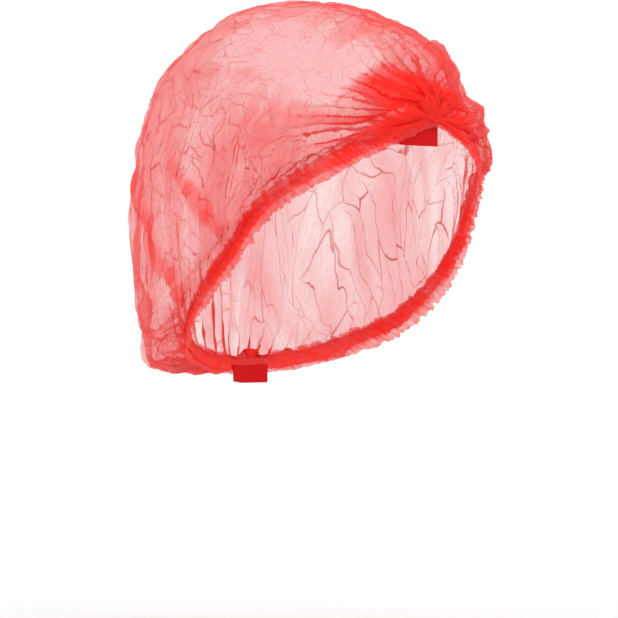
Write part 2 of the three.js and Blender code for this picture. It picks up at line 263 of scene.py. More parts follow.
def rimPoint(turn, side):
    reach = columnAt(rimRows, "reach", turn)
    a = np.radians(turn)
    drop = columnAt(rimRows, "drop", turn)
    low = wornForm["foreheadDrop"] + (wornForm["napeDrop"] - wornForm["foreheadDrop"]) * drop
    return np.stack([side * wornForm["headHalfWidth"] * reach * np.sin(a),
                     -wornForm["headHalfLength"] * reach * np.cos(a), -low], axis=-1)


def unit(vectors):
    return vectors / np.maximum(np.linalg.norm(vectors, axis=-1, keepdims=True), 1e-9)


def rimFrame(turn, side):
    # the elastic line, and there the ways along it, outwards and down over the skin
    step = 0.5
    along = unit(rimPoint(np.minimum(turn + step, 180), side) - rimPoint(np.maximum(turn - step, 0), side))
    ends = (turn < step) | (turn > 180 - step)
    along[..., 1:] = np.where(ends[..., None], 0, along[..., 1:])
    along = unit(along)
    a = np.radians(turn)
    out = np.stack([side * np.sin(a) / wornForm["headHalfWidth"],
                    -np.cos(a) / wornForm["headHalfLength"], 0 * a], axis=-1)
    out = unit(out - along * np.sum(out * along, axis=-1, keepdims=True))
    down = np.cross(along, out) * np.asarray(side)[..., None]
    return rimPoint(turn, side), along, out, down


def crownBase(turn, side, lift):
    # the smooth crown: lift runs from 0 at the hem to 1 on top
    form = wornForm
    rim = rimPoint(turn, side)
    down = rimFrame(turn, side)[3]
    edgeX, edgeY = np.abs(rim[..., 0]), rim[..., 1]
    edgeZ = rim[..., 2] + (form["bandHeight"] / 2 + 0.2) / np.maximum(-down[..., 2], 0.5)
    a = np.radians(turn)
    swell = columnAt(crownRows, "swell", turn)
    wideX = form["crownHalfWidth"] * swell * np.sin(a)
    reach = np.where(turn < 90, form["crownFrontReach"], form["crownBackReach"])
    wideY = -reach * swell * np.cos(a)
    wideZ = edgeZ * columnAt(crownRows, "drop", turn)
    sagShare = columnAt(crownRows, "sag", turn)
    sag = form["bagSag"] * sagShare
    lower = np.hypot(wideX - edgeX, wideY - edgeY) + wideZ - edgeZ + 0.5 * sag
    upper = 1.1 * np.sqrt(wideX ** 2 + wideY ** 2 + wideZ ** 2)
    lowerShare = lower / (lower + upper)
    s = np.clip(lift / lowerShare, 0, 1)
    b0, b1, b2, b3 = (1 - s) ** 3, 3 * s * (1 - s) ** 2, 3 * s ** 2 * (1 - s), s ** 3
    tuckX = edgeX + (wideX - edgeX) * form["tuckReach"]
    tuckY = edgeY + (wideY - edgeY) * form["tuckReach"]
    tuckZ = edgeZ + form["tuckRise"] * (1 - sagShare) * (wideZ - edgeZ)
    below = [edgeX * b0 + tuckX * b1 + wideX * (b2 + b3), edgeY * b0 + tuckY * b1 + wideY * (b2 + b3),
             edgeZ * b0 + tuckZ * b1 + (edgeZ - sag) * b2 + wideZ * b3]
    arch = np.clip((lift - lowerShare) / (1 - lowerShare), 0, 1) * np.pi / 2
    power = 2 / columnAt(crownRows, "dome", turn)
    inward, upward = np.maximum(np.cos(arch), 0) ** power, np.sin(arch) ** power
    above = [wideX * inward, wideY * inward, wideZ + (form["crownStandOff"] - wideZ) * upward]
    x, y, z = [np.where(lift < lowerShare, b, t) for b, t in zip(below, above)]
    return np.stack([side * x, y, z], axis=-1)


def foldField(turn, lift, column):
    # a fold fades away from its line, which wanders a little; narrow folds have crisp edges
    c = foldEdges
    turnScale = np.radians(wornForm["headHalfLength"])
    spread = np.sqrt(1 - lift)
    wander = c["wander"] * drift(turn / c["wanderTurn"], lift * c["wanderLift"], 4)
    total = 0 * turn
    for row in foldRows:
        px = (turn - row["turn"]) * turnScale * spread
        py = (lift - row["lift"]) * wornForm["napeDrop"]
        dx = (row["toTurn"] - row["turn"]) * turnScale * spread
        dy = (row["toLift"] - row["lift"]) * wornForm["napeDrop"]
        s = np.clip((px * dx + py * dy) / (dx * dx + dy * dy), 0, 1)
        away = np.hypot(px - s * dx, py - s * dy + wander) / row["width"]
        steepness = 4 if row["width"] < c["crispBelow"] else 2
        total = total + row[column] * np.exp(-away ** steepness)
    return total


def placeOnCrown(across, along):
    # across runs -1 to 1 from the right hem to the left, along 0 to 1 from forehead to nape
    flatX, flatY = across * np.sin(np.pi * along), np.cos(np.pi * along)
    turn = np.degrees(np.arctan2(np.abs(flatX), flatY))
    side = np.where(flatX < 0, -1.0, 1.0)
    lift = np.clip(1 - np.hypot(flatX, flatY), 0, 1)
    return turn, side, lift


# Pattern of the creases in flat millimetres, used by the mesh and by its material

crumple = {
    "driftSize": 40, "driftBy": 7, "kinkSize": 10, "kinkBy": 1.0,
    "longSpacing": 7, "longStretch": 4.2, "longWidth": 0.029, "longSlope": 0.45,
    "crackSpacing": 14, "crackWidth": 0.03, "crackSlope": 0.4,
    "patchSize": 30, "patchTop": 0.56, "longFrom": 0.36, "longLeast": 0.12,
    "crackFrom": 0.42, "crackMost": 0.55,
}


def cellEdges(tree, place, scale):
    scaled = vectorNode(tree, "MULTIPLY", place, scale)
    return addNode(tree, "ShaderNodeTexVoronoi", {"Vector": scaled, "Scale": 1.0},
                   voronoi_dimensions="2D", feature="DISTANCE_TO_EDGE").outputs["Distance"]


def creasePattern(tree, flat):
    # long creases that run across the strip, and a crackle between them; both fade in patches
    c = crumple
    bent = flat
    for size, by in ((c["driftSize"], c["driftBy"]), (c["kinkSize"], c["kinkBy"])):
        noise = flatNoise(tree, flat, size, 1.0).outputs["Color"]
        push = vectorNode(tree, "MULTIPLY_ADD", noise, [4 * by] * 3, [-2 * by] * 3)
        bent = vectorNode(tree, "ADD", bent, push)
    longEdge = cellEdges(tree, bent, [1 / c["longSpacing"], 1 / (c["longSpacing"] * c["longStretch"]), 1])
    crackEdge = cellEdges(tree, bent, [1 / c["crackSpacing"]] * 3)
    patches = flatNoise(tree, flat, c["patchSize"], 2.0).outputs[0]
    lines = []
    for edge, width, low, start, end in (
        (longEdge, c["longWidth"], c["longFrom"], c["longLeast"], 1.0),
        (crackEdge, c["crackWidth"], c["crackFrom"], c["crackMost"], 0.0),
    ):
        show = rangeNode(tree, patches, low, c["patchTop"], start, end, interpolation_type="SMOOTHSTEP")
        line = rangeNode(tree, edge, 0.0, width, 1.0, 0.0, interpolation_type="SMOOTHSTEP")
        lines.append(mathNode(tree, "MULTIPLY", line, show))
    longHill = rangeNode(tree, longEdge, 0.0, c["longSlope"], 0.0, 1.0)
    crackHill = rangeNode(tree, crackEdge, 0.0, c["crackSlope"], 0.0, 1.0)
    return mathNode(tree, "MAXIMUM", *lines), longHill, crackHill


# Materials

# Spunbond polypropylene, 12 g/m2, extruded threads bonded in points: the eye sees a matt red haze
# that light passes, deeper wherever layers lie on each other, with thin creases in painted shade.
cloth = {
    # the crease colour is painted shade in the creases, darker than the densest cloth
    "oneLayerCover": 0.55, "sheerColor": "#ee6664", "denseColor": "#ff362c", "creaseShadeColor": "#bb2a2c",
    "thinnest": 0.52, "sheerLayers": 0.8, "denseLayers": 4.0, "creaseLayers": 1.7,
    "bondSpacing": 1.6, "bondDepth": 0.07, "mottleSize": 2.6, "mottleDepth": 0.2,
    "cloudSize": 42, "cloudDepth": 0.3,
    # the core colour is painted shade for the hem band's middle, darker than the densest cloth
    "coreShadeColor": "#cb2424", "roughness": 0.62, "throughShare": 0.5,
}


def mixColors(tree, share, first, second):
    return addNode(tree, "ShaderNodeMix", {0: share, 6: first, 7: second}, data_type="RGBA").outputs[2]


def clothMaterial(name, creased):
    c = cloth
    material = bpy.data.materials.new(name)
    material.use_nodes = True
    tree = material.node_tree
    tree.nodes.clear()
    flat = addNode(tree, "ShaderNodeAttribute", attribute_name="flat").outputs["Vector"]
    layers = addNode(tree, "ShaderNodeAttribute", attribute_name="layers").outputs["Fac"]
    # point bonds, drawn twice as coarse as real ones so that they show
    bonds = addNode(tree, "ShaderNodeTexVoronoi",
                    {"Vector": flat, "Scale": 1 / c["bondSpacing"], "Randomness": 0.7},
                    voronoi_dimensions="2D").outputs["Distance"]
    bondShare = rangeNode(tree, bonds, 0.1, 0.6, c["bondDepth"], -c["bondDepth"])
    mottle = flatNoise(tree, flat, c["mottleSize"], 3.0).outputs[0]
    mottleShare = rangeNode(tree, mottle, 0.25, 0.75, -c["mottleDepth"] / 2, c["mottleDepth"] / 2)
    cloud = flatNoise(tree, flat, c["cloudSize"], 2.0).outputs[0]
    cloudShare = rangeNode(tree, cloud, 0.3, 0.7, -c["cloudDepth"] / 2, c["cloudDepth"] / 2)
    grain = mathNode(tree, "ADD", bondShare, mottleShare)
    hazed = mathNode(tree, "ADD", layers, mathNode(tree, "ADD", grain, cloudShare))
    if creased:
        loose = addNode(tree, "ShaderNodeAttribute", attribute_name="loose").outputs["Fac"]
        line = mathNode(tree, "MULTIPLY", creasePattern(tree, flat)[0], loose)
        hazed = mathNode(tree, "MULTIPLY_ADD", line, c["creaseLayers"], hazed)
    # each layer covers a share of what still shows, so what stays clear is a power of the layers
    thickness = mathNode(tree, "MAXIMUM", hazed, c["thinnest"])
    clear = mathNode(tree, "POWER", 1 - c["oneLayerCover"], thickness)
    deep = rangeNode(tree, thickness, c["sheerLayers"], c["denseLayers"], 0.0, 1.0)
    color = mixColors(tree, deep, toLinear(c["sheerColor"]), toLinear(c["denseColor"]))
    if creased:
        # crease lines are painted darker than the densest cloth: painted shade on top of their extra layers
        color = mixColors(tree, line, color, toLinear(c["creaseShadeColor"]))
    else:
        # the band's middle is darkened by its core mask: painted shade
        core = addNode(tree, "ShaderNodeAttribute", attribute_name="core").outputs["Fac"]
        color = mixColors(tree, core, color, toLinear(c["coreShadeColor"]))
    face = addNode(tree, "ShaderNodeBsdfPrincipled", {"Base Color": color, "Roughness": c["roughness"],
                                                      "IOR": 1.49, "Specular IOR Level": 0.25})
    through = addNode(tree, "ShaderNodeBsdfTranslucent", {"Color": color})
    fibres = addNode(tree, "ShaderNodeMixShader",
                     {0: c["throughShare"], 1: face.outputs[0], 2: through.outputs[0]})
    gaps = addNode(tree, "ShaderNodeBsdfTransparent")
    web = addNode(tree, "ShaderNodeMixShader", {0: clear, 1: fibres.outputs[0], 2: gaps.outputs[0]})
    addNode(tree, "ShaderNodeOutputMaterial", {"Surface": web.outputs[0]})
    return material


sheerCloth = clothMaterial("sheer spunbond polypropylene", True)
gatheredCloth = clothMaterial("gathered spunbond polypropylene", False)


def plainMaterial(name, hexColor, roughness, ior, specular):
    material = bpy.data.materials.new(name)
    material.use_nodes = True
    tree = material.node_tree
    tree.nodes.clear()
    face = addNode(tree, "ShaderNodeBsdfPrincipled",
                   {"Base Color": toLinear(hexColor), "Roughness": roughness, "IOR": ior,
                    "Specular IOR Level": specular})
    addNode(tree, "ShaderNodeOutputMaterial", {"Surface": face.outputs[0]})
    return material


# Polypropylene pleats melted together by ultrasound: a nearly solid, slightly glossy dark red
weldedPleats = plainMaterial("welded polypropylene", "#c4060b", 0.55, 1.49, 0.12)
# Latex-free rubber thread in a polyester cover: matt, paler than the cloth
coveredElastic = plainMaterial("covered elastic thread", "#ff9d92", 0.7, 1.5, 0.3)
print("materials made")


# Crown

crown = {
    "rowsAlong": 440, "rowsAcross": 222, "firstAlong": 0.026,
    # large forms, as in the solids
    "mainPleats": 10, "mainPleatDepth": 2.4, "mainGathers": 10, "mainGatherDepth": 1.6,
    # the pleats beside each weld, and how the weld pinches them
    "pleats": 34, "pleatDepth": 4.0, "pleatLean": 4.0, "pleatSink": 1.5, "pleatSteep": 0.8,
    "pinchTop": 0.16, "pinchReach": 20, "pinchPull": 0.4, "pinchWidth": 3, "pinchLayers": 2.0,
    # the edge that hangs over the band beside the front weld
    "hangDown": 8, "hangOut": 4.5, "hangReach": 9, "hangFull": 20, "hangGone": 33,
    # gathers and tucks above the hems
    "gatherSpacing": 7.5, "gatherDepth": 1.2, "gatherReach": 13,
    "tuckSpacing": 21, "tuckDepth": 2.6, "tuckReach": 42, "gatherLean": 1.0,
    # the open cloth between them
    "puffSize": 48, "puffDepth": 2.2, "dimpleSize": 17, "dimpleDepth": 1.8,
    "crinkleSpacing": 6, "crinkleDepth": 0.35, "crumpleSink": 1.2,
    # what makes the cloth look thicker
    "smoothPacking": 0.55, "mostLayers": 7, "hemLayers": 0.45, "hemReach": 7,
    "overHemLayers": 0.1, "overHemReach": 26, "streakSpacing": 5.5, "streakLayers": 0.26, "fanStreaks": 2.8,
}
crumpleSizes = {"Long Crease Depth": 2.3, "Crackle Depth": 0.9}


def largeForms(along, across, turn, lift):
    # large pleats and gathers, as in the solids, and the single folds
    c = crown
    fromEnd, fromHem = np.minimum(along, 1 - along), 1 - np.abs(across)
    pleatFade = rise(fromEnd, 0.03, 0.12) * (1 - 0.9 * rise(fromEnd, 0.14, 0.42)) * rise(fromHem, 0, 0.2)
    mainPleats = np.cos(np.pi * c["mainPleats"] * (across + 0.08 * np.sin(5 * across + 4 * along)))
    gatherFade = rise(fromHem, 0.02, 0.14) * (1 - rise(fromHem, 0.2, 0.75)) * rise(fromEnd, 0.06, 0.16)
    mainGathers = np.cos(2 * np.pi * c["mainGathers"]
                         * (along + 0.012 * np.sin(9 * along) + 0.05 * fromHem))
    edgeFade = rise(fromHem, 0, 0.1) * rise(fromEnd, 0.02, 0.05)
    return (c["mainPleatDepth"] * pleatFade * mainPleats + c["mainGatherDepth"] * gatherFade * mainGathers
            + edgeFade * foldField(turn, lift, "rise"))


def weldPleats(along, across, hemFlat, stepAcross):
    # pleats fan out from both welds and lean over; close together they lean more than they stand
    c = crown
    fromEnd = np.minimum(along, 1 - along)
    wave = np.pi * c["pleats"] * (across + 0.02 * drift(across * 5, along * 14, 3))
    fan = rise(fromEnd, 0.026, 0.06) * (1 - rise(fromEnd, 0.1, 0.42)) * rise(hemFlat, 6, 60)
    fan = fan * (0.75 + 0.35 * drift(across * 9, along * 8, 5))
    lean = c["pleatLean"] * fan * np.sin(wave)
    spacing = stepAcross * (c["rowsAcross"] - 1) / c["pleats"]
    fan = fan * np.minimum(1, c["pleatSteep"] * spacing / c["pleatDepth"])
    pleats = c["pleatDepth"] * fan * (1 - 2 * np.abs(np.sin(wave / 2)) ** 0.8)
    return pleats, fan, lean


def weldPinch(turn, lift):
    # the weld draws the pleats together along its upper end
    c, form = crown, wornForm
    sideways = turn * np.radians(form["headHalfLength"]) * np.sqrt(1 - lift)
    above = np.maximum(lift - c["pinchTop"], 0) * form["napeDrop"]
    pull = np.exp(-(np.hypot(sideways, above) / c["pinchReach"]) ** 2)
    pinchLine = (np.exp(-(sideways / c["pinchWidth"]) ** 2)
                 * (1 - rise(lift, c["pinchTop"] - 0.06, c["pinchTop"] + 0.04)))
    return -c["pinchPull"] * pull * sideways, pinchLine


def hemGathers(flatS, flatT, hemFlat, fromEnd):
    # small gathers and wider tucks rise from both hems
    c = crown
    ripple = 2 * np.pi * (flatS / c["gatherSpacing"] + 0.7 * drift(flatS / 17, flatT / 30, 6))
    tuck = 2 * np.pi * (flatS / c["tuckSpacing"] + 0.9 * drift(flatS / 50, flatT / 60, 7)
                        + 0.012 * hemFlat)
    nearHem = np.exp(-hemFlat / c["gatherReach"]) * rise(hemFlat, 0, 3) * rise(fromEnd, 0.06, 0.2)
    aboveHem = np.exp(-hemFlat / c["tuckReach"]) * rise(hemFlat, 1, 12) * rise(fromEnd, 0.08, 0.22)
    uneven = 0.7 + 0.5 * drift(flatS / 26, flatT / 40, 8)
    gathers = (c["gatherDepth"] * nearHem * np.sin(ripple)
               + c["tuckDepth"] * aboveHem * uneven * (1 - 2 * np.abs(np.sin(tuck / 2)) ** 0.7))
    lean = c["gatherLean"] * (nearHem * np.cos(ripple) + aboveHem * uneven * np.sin(tuck))
    return gathers, lean


def hangingEdge(turn, lift):
    # beside the front weld the cloth hangs over the upper half of the band
    c, fromFront = crown, np.abs(turn)
    return (np.exp(-lift * wornForm["napeDrop"] / c["hangReach"])
            * (1 - rise(fromFront, c["hangFull"], c["hangGone"]))
            * (1 + 0.3 * drift(turn / 5, 0 * fromFront, 14)))


def openCloth(flatS, flatT):
    # puffs, dimples and a fine crinkle, sunk a little as the creases only push outwards
    c = crown
    puffs = (c["puffDepth"] * drift(flatS / c["puffSize"], flatT / c["puffSize"], 9)
             + c["dimpleDepth"] * drift(flatS / c["dimpleSize"], flatT / c["dimpleSize"], 10))
    crinkle = (c["crinkleDepth"] * (0.6 + 0.5 * drift(flatS / 35, flatT / 35, 16))
               * np.sin(2 * np.pi * (flatS / c["crinkleSpacing"] + 1.1 * drift(flatS / 19, flatT / 24, 15))))
    return puffs + crinkle - c["crumpleSink"]


def cellArea(points):
    return np.linalg.norm(np.cross(np.gradient(points, axis=1), np.gradient(points, axis=0)), axis=-1)


def packedLayers(points, base, flatS, flatT):
    # the flat strip's area over the area that it covers, both as pleated and as if it were smooth
    flatCell = np.gradient(flatS, axis=0) * np.gradient(flatT, axis=1)
    return np.maximum(flatCell / np.maximum(cellArea(points), 1e-6),
                      crown["smoothPacking"] * flatCell / np.maximum(cellArea(base), 1e-6))


def crownShape():
    c, form = crown, wornForm
    along, across = np.meshgrid(np.linspace(c["firstAlong"], 1 - c["firstAlong"], c["rowsAlong"]),
                                np.linspace(-1, 1, c["rowsAcross"]), indexing="ij")
    turn, side, lift = placeOnCrown(across, along)
    base = crownBase(turn, side, lift)
    turn = side * turn
    flatS, flatT = along * form["flatLength"], across * form["flatWidth"] / 2
    stepT, stepS = np.gradient(base, axis=1), np.gradient(base, axis=0)
    fromEnd, fromHem = np.minimum(along, 1 - along), 1 - np.abs(across)
    hemFlat = fromHem * form["flatWidth"] / 2

    large = largeForms(along, across, turn, lift)
    pleats, fan, pleatLean = weldPleats(along, across, hemFlat, np.linalg.norm(stepT, axis=-1))
    pinch, pinchLine = weldPinch(turn, lift)
    gathers, gatherLean = hemGathers(flatS, flatT, hemFlat, fromEnd)
    hang = hangingEdge(turn, lift)
    calm = rise(hemFlat, 0, 22) * rise(fromEnd, 0.12, 0.34)
    lifted = pleats - c["pleatSink"] * fan + gathers + openCloth(flatS, flatT) * calm

    # large forms are pushed from the middle of the cap, the rest from the cloth itself
    middle = np.array([0, 0, -(form["foreheadDrop"] + form["napeDrop"]) / 2.7])
    outward, out = unit(base - middle), unit(np.cross(stepT, stepS))
    points = (base + outward * (large + c["hangOut"] * hang)[..., None] + out * lifted[..., None]
              + unit(stepT) * (pleatLean + pinch)[..., None] + unit(stepS) * gatherLean[..., None])
    points[..., 2] -= c["hangDown"] * hang

    # how many layers lie on each other
    packing = packedLayers(points, base, flatS, flatT)
    opened = (1 - 0.7 * rise(fromEnd, 0.07, 0.24)) * (0.4 + 0.6 * rise(fromHem, 0.05, 0.4))
    streaks = (drift(flatS / c["streakSpacing"], flatT / 45, 11)
               + drift(flatS / (2.6 * c["streakSpacing"]), flatT / 70, 12))
    fanStreaks = (drift(across * 26, along * 5, 13) * rise(fromEnd, 0.03, 0.09)
                  * (1 - rise(fromEnd, 0.2, 0.46)) * rise(hemFlat, 4, 30))
    folded = foldField(turn, lift, "layers")
    layers = (1 + (np.clip(packing, 0.8, c["mostLayers"]) - 1) * opened
              + c["hemLayers"] * np.exp(-hemFlat / c["hemReach"])
              + c["overHemLayers"] * np.exp(-hemFlat / c["overHemReach"])
              + c["streakLayers"] * (streaks + c["fanStreaks"] * fanStreaks)
              + c["pinchLayers"] * pinchLine + folded)
    loose = rise(hemFlat, 0, 16) * rise(fromEnd, 0.13, 0.4) * np.clip(1 + 1.1 * folded, 0.35, 1)
    return points, {"flat": np.stack([flatS, flatT, 0 * flatS], axis=-1),
                    "layers": np.maximum(layers, 0.5), "loose": loose}


def crumpleTree():
    # creases stand up where the cloth is loose
    tree, given = startTree("crumple cloth", crumpleSizes)
    flat, loose = storedValue(tree, "flat", "FLOAT_VECTOR"), storedValue(tree, "loose")
    longHill, crackHill = creasePattern(tree, flat)[1:]
    high = mathNode(tree, "MULTIPLY", longHill, given.outputs["Long Crease Depth"])
    both = mathNode(tree, "MULTIPLY_ADD", crackHill, given.outputs["Crackle Depth"], high)
    metres = mathNode(tree, "MULTIPLY", mathNode(tree, "MULTIPLY", both, loose), 0.001)
    endTree(tree, pushOut(tree, given.outputs["Geometry"], metres), sheerCloth)
    return tree


points, values = crownShape()
crownCloth = makePiece("crown_cloth", points)
storeValues(crownCloth.data, values)
runTree(crownCloth, crumpleTree(), crumpleSizes)
print("crown made,", len(crownCloth.data.polygons), "faces,",
      round(sum(face.area for face in crownCloth.data.polygons), 4), "square metres")


# Hems: the gathered band over the elastic and its ragged frill

hem = {
    "rowsAlong": 1150, "rowsAcross": 27, "innerShare": 0.33, "innerEnd": 0.35, "topOverlap": 3.0,
    "bandSwell": 1.9, "swellReach": 4.2, "frillFlare": 1.5,
    "layersInBand": 3.3, "layersInFrill": 1.8, "gatherShade": 0.45, "shadeSlant": 0.6, "coreShare": 0.8,
    "flatStretch": 1.6, "flatDown": 1.2, "sideShift": 90,  # the strip's own place for its pattern
    "gatherSlant": 0.45, "gatherDown": 0.12,
}
ruffleSizes = {"Gather Spacing": 2.3, "Gather Height": 1.3, "Ruffle Spacing": 5.0, "Ruffle Height": 3.4}


def hemShape(side):
    # the strip starts inside, folds over above the elastic and ends in the frill
    c, form = hem, wornForm
    turns = np.linspace(0, 180, 2000)
    path = rimPoint(turns, side)
    length = np.concatenate([[0], np.cumsum(np.linalg.norm(np.diff(path, axis=0), axis=1))])
    alongMm = np.linspace(0, length[-1], c["rowsAlong"])
    turn = np.interp(alongMm, length, turns)
    place, _, out, down = rimFrame(turn, side * np.ones_like(turn))
    fromEnd = np.minimum(alongMm, length[-1] - alongMm) / length[-1]
    top = -form["bandHeight"] / 2 - c["topOverlap"] * (1 + 0.5 * drift(alongMm / 3, 0 * alongMm, 23))
    ragged = 1 + 0.22 * drift(alongMm / 3.1, 0 * alongMm, 21) + 0.16 * drift(alongMm / 1.1, 0 * alongMm, 22)
    frill = form["frillHeight"] * (0.3 + 0.7 * rise(fromEnd, 0.05, 0.35)) * ragged
    bottom = form["bandHeight"] / 2 + frill
    innerEnd = c["innerEnd"] * form["bandHeight"]
    share = np.linspace(0, 1, c["rowsAcross"])
    inner = np.clip(share / c["innerShare"], 0, 1)
    outer = np.clip((share - c["innerShare"]) / (1 - c["innerShare"]), 0, 1)
    top, bottom = top[:, None], bottom[:, None]
    s = alongMm[:, None]
    d = np.where(share < c["innerShare"], innerEnd + (top - innerEnd) * inner, top + (bottom - top) * outer)
    swell = c["bandSwell"] * np.exp(-(d / c["swellReach"]) ** 2) * rise(outer, 0, 0.35)
    swell = swell * (1 + 0.25 * drift(s / 7, d / 9, 26))
    n = 0.2 + 0.4 * inner + swell + c["frillFlare"] * rise(outer, 0.55, 1)
    points = place[:, None, :] + down[:, None, :] * d[..., None] + out[:, None, :] * n[..., None]

    flat = np.stack([s * c["flatStretch"] + 0 * d, d * c["flatDown"] + side * c["sideShift"], 0 * d], axis=-1)
    inFrill = rise(d, 2.5, 5) * (outer > 0)
    thick = c["layersInBand"] * (1 + 0.35 * drift(alongMm / 14, 0 * alongMm, 24))[:, None]
    gathered = drift((s + c["shadeSlant"] * d) / 1.1, d / 4, 25)
    layers = (thick * (1 - inFrill) + c["layersInFrill"] * inFrill) * (1 + c["gatherShade"] * gathered)
    layers = layers * (0.2 + 0.8 * rise(d, top, top + 4.5))
    # along the sides, over the ears, the band's middle gets painted shade, darker than the densest cloth
    coreShadeAlong = (rise(turn, 35, 60) * (1 - rise(turn, 125, 150)))[:, None]
    core = (c["coreShare"] * coreShadeAlong * np.exp(-((d + 1) / 2) ** 2) * (outer > 0)
            * (0.7 + 0.5 * drift(s / 2.2, d / 1.5, 27)))
    return points, {"flat": flat, "layers": layers, "hemMm": np.stack([s + 0 * d, d, 0 * d], axis=-1),
                    "inFrill": inFrill * rise(fromEnd, 0.0, 0.02)[:, None],
                    "outside": 0.2 + 0.8 * (outer > 0) + 0 * d, "core": core}


def hemNoise(tree, alongBy, down, detail):
    # from -0.5 to 0.5, one bump for each unit along
    place = addNode(tree, "ShaderNodeCombineXYZ", {0: alongBy, 1: down})
    return mathNode(tree, "SUBTRACT", flatNoise(tree, place.outputs[0], 1.0, detail).outputs[0], 0.5)


def ruffleTree():
    # small gathers on the band's outside, which lie aslant like a twisted cord's strands, and the frill
    tree, given = startTree("ruffle hem", ruffleSizes)
    place = storedValue(tree, "hemMm", "FLOAT_VECTOR")
    split = addNode(tree, "ShaderNodeSeparateXYZ", {0: place}).outputs
    slant = mathNode(tree, "MULTIPLY_ADD", split[1], hem["gatherSlant"], split[0])
    down = mathNode(tree, "MULTIPLY", split[1], hem["gatherDown"])
    gather = hemNoise(tree, mathNode(tree, "DIVIDE", slant, given.outputs["Gather Spacing"]), down, 1.0)
    ruffle = hemNoise(tree, mathNode(tree, "DIVIDE", split[0], given.outputs["Ruffle Spacing"]), down, 2.0)
    gatherFree = mathNode(tree, "MULTIPLY", gather, storedValue(tree, "outside"))
    gatherBy = mathNode(tree, "MULTIPLY", gatherFree, given.outputs["Gather Height"])
    ruffleBy = mathNode(tree, "MULTIPLY", ruffle, given.outputs["Ruffle Height"])
    swing = mathNode(tree, "MULTIPLY_ADD", ruffleBy, storedValue(tree, "inFrill"), gatherBy)
    metres = mathNode(tree, "MULTIPLY", swing, 0.002)  # in metres, and doubled as the noise swings by half
    endTree(tree, pushOut(tree, given.outputs["Geometry"], metres), gatheredCloth)
    return tree


ruffle = ruffleTree()
hems = {}
for sideName, side in (("right", -1), ("left", 1)):
    points, values = hemShape(side)
    if side < 0:  # this side's rows run the other way, so turning them keeps the faces outwards
        points, values = points[::-1], {name: grid[::-1] for name, grid in values.items()}
    piece = makePiece("hem_cloth_" + sideName, points)
    storeValues(piece.data, values)
    runTree(piece, ruffle, ruffleSizes)
    hems[sideName] = piece
print("hems made")


# Elastics: two covered threads along each band

elastic = {"points": 420, "apart": 1.5, "rideHigh": 1.0, "fromWeld": 0.6}
strandSizes = {"Thread Radius": 0.00036, "Weave Spacing": 0.0042, "Weave Height": 0.0005}


def strandTree():
    # each line becomes a thread that strays a little from its path
    tree, given = startTree("elastic threads", strandSizes)
    curve = addNode(tree, "GeometryNodeMeshToCurve", {"Mesh": given.outputs["Geometry"]})
    place = addNode(tree, "GeometryNodeInputPosition")
    weaveAt = mathNode(tree, "DIVIDE", 1.0, given.outputs["Weave Spacing"])
    weave = addNode(tree, "ShaderNodeTexNoise", {"Vector": place.outputs[0], "Scale": weaveAt,
                                                 "Detail": 0.0})
    middle = vectorNode(tree, "SUBTRACT", weave.outputs["Color"], (0.5, 0.5, 0.5))
    shift = addNode(tree, "ShaderNodeVectorMath", {0: middle, "Scale": given.outputs["Weave Height"]},
                    operation="SCALE")
    woven = addNode(tree, "GeometryNodeSetPosition", {"Geometry": curve.outputs[0],
                                                      "Offset": shift.outputs[0]})
    ring = addNode(tree, "GeometryNodeCurvePrimitiveCircle",
                   {"Resolution": 8, "Radius": given.outputs["Thread Radius"]})
    tube = addNode(tree, "GeometryNodeCurveToMesh", {"Curve": woven.outputs[0],
                                                     "Profile Curve": ring.outputs[0], "Fill Caps": True})
    endTree(tree, tube.outputs[0], coveredElastic)
    return tree


strand = strandTree()
elastics = {}
for sideName, side in (("right", -1), ("left", 1)):
    turn = np.linspace(elastic["fromWeld"], 180 - elastic["fromWeld"], elastic["points"])
    place, _, out, down = rimFrame(turn, side * np.ones_like(turn))
    lines, edges = [], []
    for half in (-0.5, 0.5):
        first = len(lines) * len(turn)
        lines.append(place + down * half * elastic["apart"] + out * elastic["rideHigh"])
        edges += [(first + i, first + i + 1) for i in range(len(turn) - 1)]
    mesh = bpy.data.meshes.new("elastic_threads_" + sideName)
    mesh.from_pydata((np.concatenate(lines) * 0.001).tolist(), edges, [])
    piece = bpy.data.objects.new(mesh.name, mesh)
    bpy.context.collection.objects.link(piece)
    runTree(piece, strand, strandSizes)
    piece.data.polygons.foreach_set("use_smooth", [True] * len(piece.data.polygons))
    elastics[sideName] = piece
print("elastics made")


# Welded strip ends

weld = {
    "frontRight": 23.5, "frontLeft": 5, "frontHeight": 15, "rearHalfWidth": 12, "rearHeight": 10,
    "thickness": 1.1, "standIn": 0.4, "columns": 60, "rows": 22, "ribDepth": 0.16, "ribSpacing": 1.9,
    "cornerUp": 0.9, "cornerReach": 4, "frontSlope": 0.05,
}


